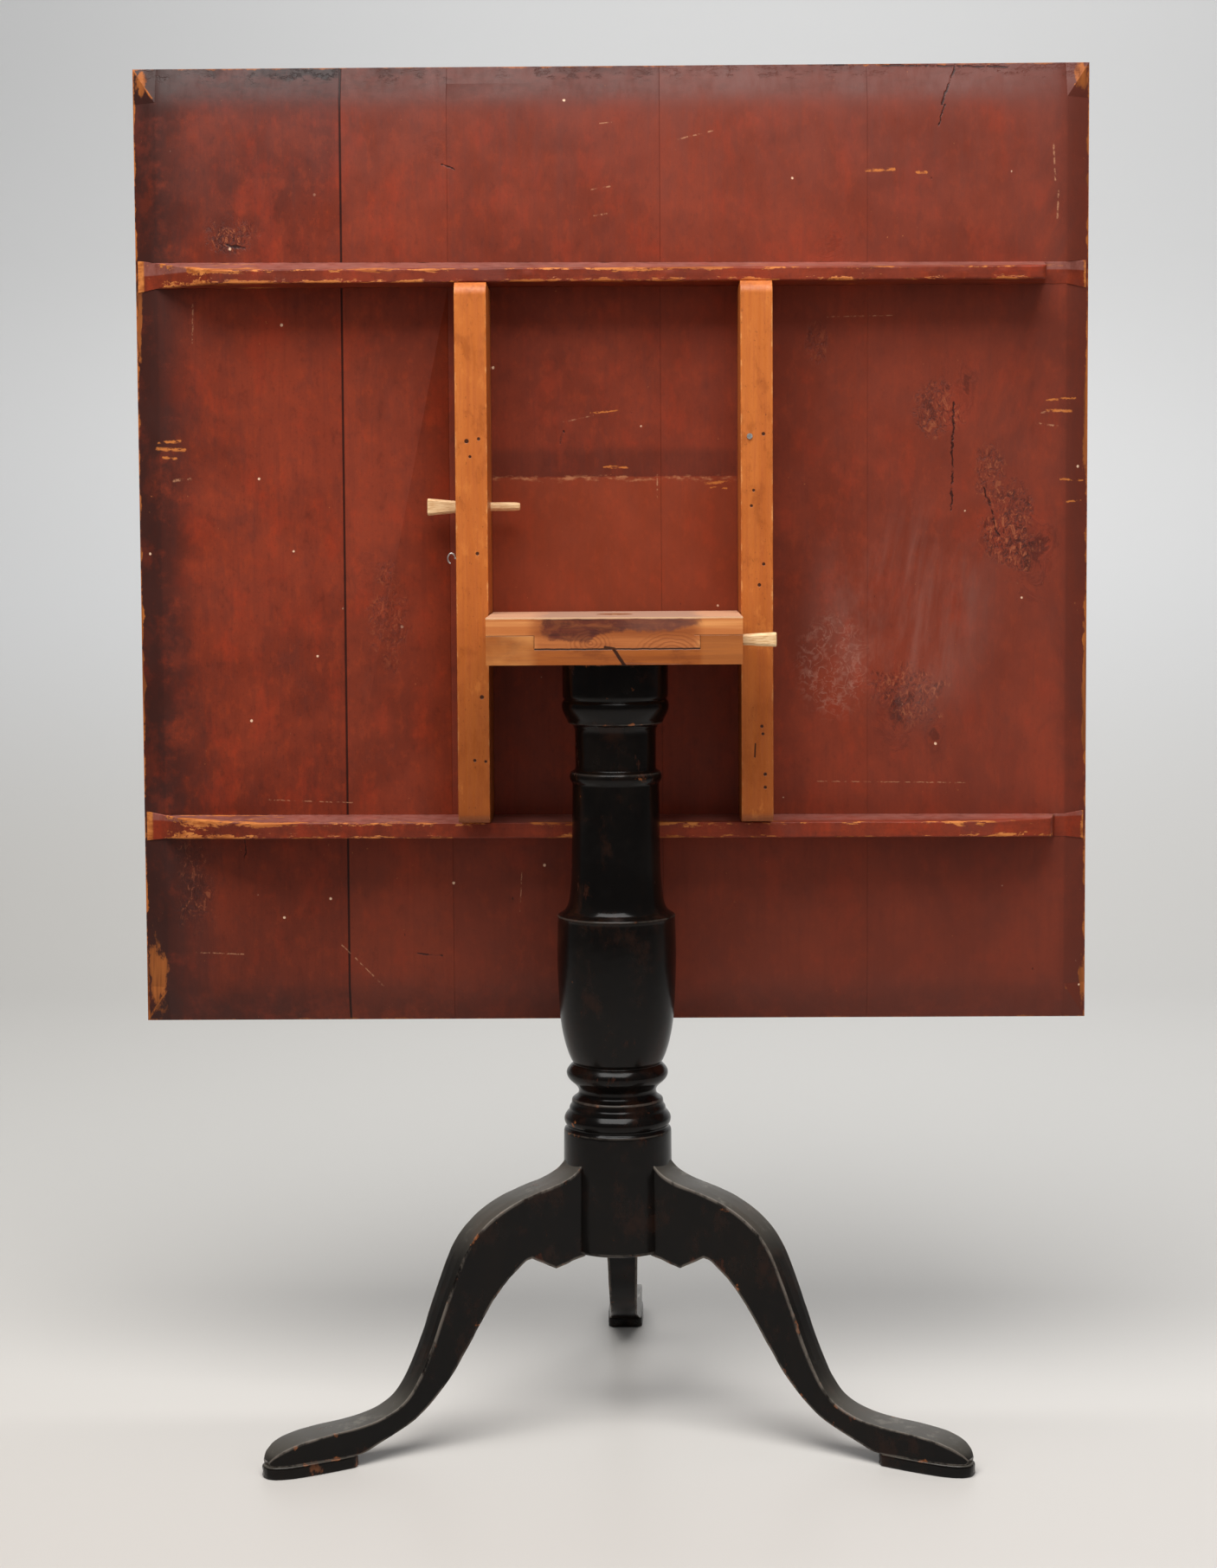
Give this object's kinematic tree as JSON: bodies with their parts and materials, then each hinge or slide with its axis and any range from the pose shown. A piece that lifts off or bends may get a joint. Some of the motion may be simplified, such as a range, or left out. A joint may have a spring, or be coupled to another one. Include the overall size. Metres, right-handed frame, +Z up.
{
  "type": "tilt top table",
  "caption": "Tilt top table: a square plank top on battens hinges on a block, held by pegs, over a turned pedestal with curved tripod legs.",
  "frame": {"origin": "on the floor, on the axis of the turned pedestal", "axes": "+Z up, X along the hinge, +Y to the side the raised top stands on; the underside of the raised top faces -Y"},
  "size_m": [0.894, 0.5432, 1.2522],
  "materials": {
    "red_paint": "old dark red oil paint on pine, worn",
    "bearer_pine": "varnished pine, aged to honey orange",
    "block_pine": "stained and varnished pine",
    "black_paint": "black paint on wood, polished and worn",
    "peg_wood": "raw whittled pale wood",
    "iron": "dull iron and wire"
  },
  "bodies": {
    "base": {"column": "black_paint", "tenon_wedge": "peg_wood", "block_plank": "block_pine", "block_cleat": "block_pine", "hinge_pins": "peg_wood", "rear_leg": "black_paint", "left_leg": "black_paint", "right_leg": "black_paint", "rear_foot_pad": "black_paint", "left_foot_pad": "black_paint", "right_foot_pad": "black_paint"},
    "top": {"plank_1": "red_paint", "plank_2": "red_paint", "plank_3": "red_paint", "plank_4": "red_paint", "plank_5": "red_paint", "upper_batten": "red_paint", "lower_batten": "red_paint", "left_bearer": "bearer_pine", "right_bearer": "bearer_pine", "bearer_nail": "iron", "wire_eye": "iron"},
    "left_peg": {"left_peg": "peg_wood"},
    "right_peg": {"right_peg": "peg_wood"}
  },
  "joints": [
    {"name": "top_tilt", "type": "hinge", "parent": "base", "child": "top", "pos_m": [0, 0.07, 0.7235], "axis": [1, 0, 0], "range_deg": [0, 91.8]},
    {"name": "left_peg_draw", "type": "slide", "parent": "top", "child": "left_peg", "axis": [-1, 0, 0], "range_m": [0, 0.036]},
    {"name": "right_peg_draw", "type": "slide", "parent": "base", "child": "right_peg", "axis": [1, 0, 0], "range_m": [0, 0.143]}
  ],
  "couplings": [
    {"joint": "left_peg_draw", "follows": "top_tilt", "m_per_rad": 0.02245},
    {"joint": "right_peg_draw", "follows": "top_tilt", "m_per_rad": 0.0892}
  ]
}
